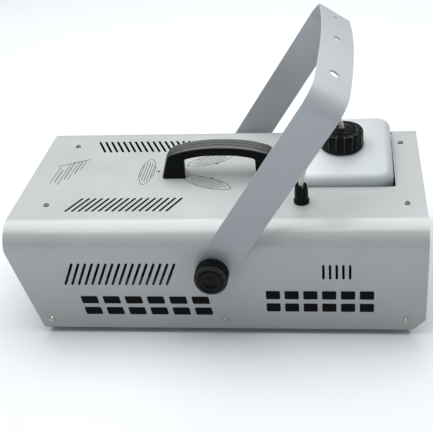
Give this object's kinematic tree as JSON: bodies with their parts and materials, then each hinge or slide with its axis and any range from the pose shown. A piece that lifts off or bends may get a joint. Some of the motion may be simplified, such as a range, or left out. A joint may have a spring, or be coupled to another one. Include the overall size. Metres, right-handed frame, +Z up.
{
  "type": "fog machine",
  "caption": "Stage fog machine: louvred sheet-metal case with heater and pump, drop-in fluid tank with screw cap and suction hose, carrying handle and a swinging clamped hanging bracket.",
  "frame": {"origin": "on the floor under the middle of the case, at the underside of the rubber feet", "axes": "+Z up, +X along the case towards the rear (tank end), -X towards the nozzle, Y across the machine along the bracket's pivot axis"},
  "size_m": [0.48, 0.317, 0.3211],
  "materials": {
    "cover_paint": "satin silver-grey metallic powder coat",
    "bracket_paint": "satin silver-grey metallic powder coat",
    "panel_steel": "satin silver-grey coat",
    "plated_steel": "bright nickel plate",
    "zinc_steel": "zinc plated",
    "black_nylon": "moulded, satin",
    "handle_plastic": "moulded, satin",
    "tank_hdpe": "translucent blow moulded, satin",
    "hose_pvc": "milky, semi-gloss",
    "rubber": "matt",
    "foam": "closed cell",
    "brass": "machined",
    "aluminium": "cast",
    "insulation": "glass-fibre blanket",
    "pcb": "solder-masked board",
    "component_black": "moulded",
    "component_blue": "moulded",
    "coil_resin": "cast resin",
    "contact_metal": "tinned",
    "rocker_red": "moulded, gloss",
    "fuse_glass": "clear"
  },
  "bodies": {
    "case": {"top_cover": "cover_paint", "chassis_tray": "panel_steel", "front_panel": "panel_steel", "rear_panel": "panel_steel", "cover_screws": "plated_steel", "rubber_feet": "rubber", "foot_screws": "zinc_steel", "foot_nuts": "zinc_steel", "carry_handle": "handle_plastic", "handle_screws": "zinc_steel", "friction_washers": "rubber", "pivot_nuts": "zinc_steel", "tank_pad": "foam", "suction_hose": "hose_pvc", "gland_body": "black_nylon", "gland_nut": "black_nylon", "gland_locknut": "black_nylon", "pump_bracket": "zinc_steel", "pump_coil": "coil_resin", "pump_body": "brass", "pump_spring": "contact_metal", "suction_line": "hose_pvc", "delivery_line": "hose_pvc", "heater_block": "aluminium", "heating_rods": "zinc_steel", "heater_jacket": "insulation", "jacket_bands": "zinc_steel", "heater_stands": "zinc_steel", "thermostats": "contact_metal", "heater_inlet_fitting": "brass", "nozzle_tube": "zinc_steel", "nozzle": "brass", "nozzle_plate": "zinc_steel", "board_posts": "brass", "circuit_board": "pcb", "board_screws": "zinc_steel", "transformer": "component_black", "relays": "component_blue", "capacitors": "component_black", "terminal_block": "component_blue", "power_inlet": "component_black", "inlet_pins": "contact_metal", "inlet_screws": "zinc_steel", "switch_housing": "component_black", "fuse_holder": "component_black", "remote_socket": "component_black"},
    "bracket": {"hanging_bracket": "bracket_paint"},
    "knob_left": {"clamp_stud_left": "zinc_steel", "clamp_knob_left": "black_nylon"},
    "knob_right": {"clamp_stud_right": "zinc_steel", "clamp_knob_right": "black_nylon"},
    "tank": {"fluid_tank": "tank_hdpe", "intake_tube": "hose_pvc", "intake_filter": "brass"},
    "cap": {"tank_cap": "black_nylon", "cap_gasket": "rubber"},
    "rocker": {"switch_rocker": "rocker_red"},
    "fuse_carrier": {"fuse_cap": "component_black", "fuse": "fuse_glass"},
    "plunger": {"pump_plunger": "zinc_steel"}
  },
  "joints": [
    {"name": "bracket_swing", "type": "hinge", "parent": "case", "child": "bracket", "pos_m": [0, 0, 0.0925], "axis": [0, 1, 0], "range_deg": [-103, 37]},
    {"name": "knob_left_turn", "type": "hinge", "parent": "case", "child": "knob_left", "pos_m": [0, -0.1385, 0.0925], "axis": [0, -1, 0], "continuous": true},
    {"name": "knob_right_turn", "type": "hinge", "parent": "case", "child": "knob_right", "pos_m": [0, 0.1385, 0.0925], "axis": [0, 1, 0], "continuous": true},
    {"name": "tank_lift", "type": "slide", "parent": "case", "child": "tank", "axis": [0, 0, 1], "range_m": [0, 0.085], "deforming": ["suction_hose"]},
    {"name": "cap_turn", "type": "hinge", "parent": "tank", "child": "cap", "pos_m": [0.1445, 0.0315, 0.175], "axis": [0, 0, 1], "continuous": true},
    {"name": "rocker_tilt", "type": "hinge", "parent": "case", "child": "rocker", "pos_m": [0.2235, -0.106, 0.078], "axis": [0, 1, 0], "range_deg": [0, 16]},
    {"name": "fuse_cap_turn", "type": "hinge", "parent": "case", "child": "fuse_carrier", "pos_m": [0.2285, -0.07, 0.078], "axis": [1, 0, 0], "range_deg": [0, 90]},
    {"name": "plunger_stroke", "type": "slide", "parent": "case", "child": "plunger", "axis": [0, 0, 1], "range_m": [0, 0.004], "stiffness_N_per_m": 600, "springref_m": -0.002, "deforming": ["pump_spring"]}
  ]
}
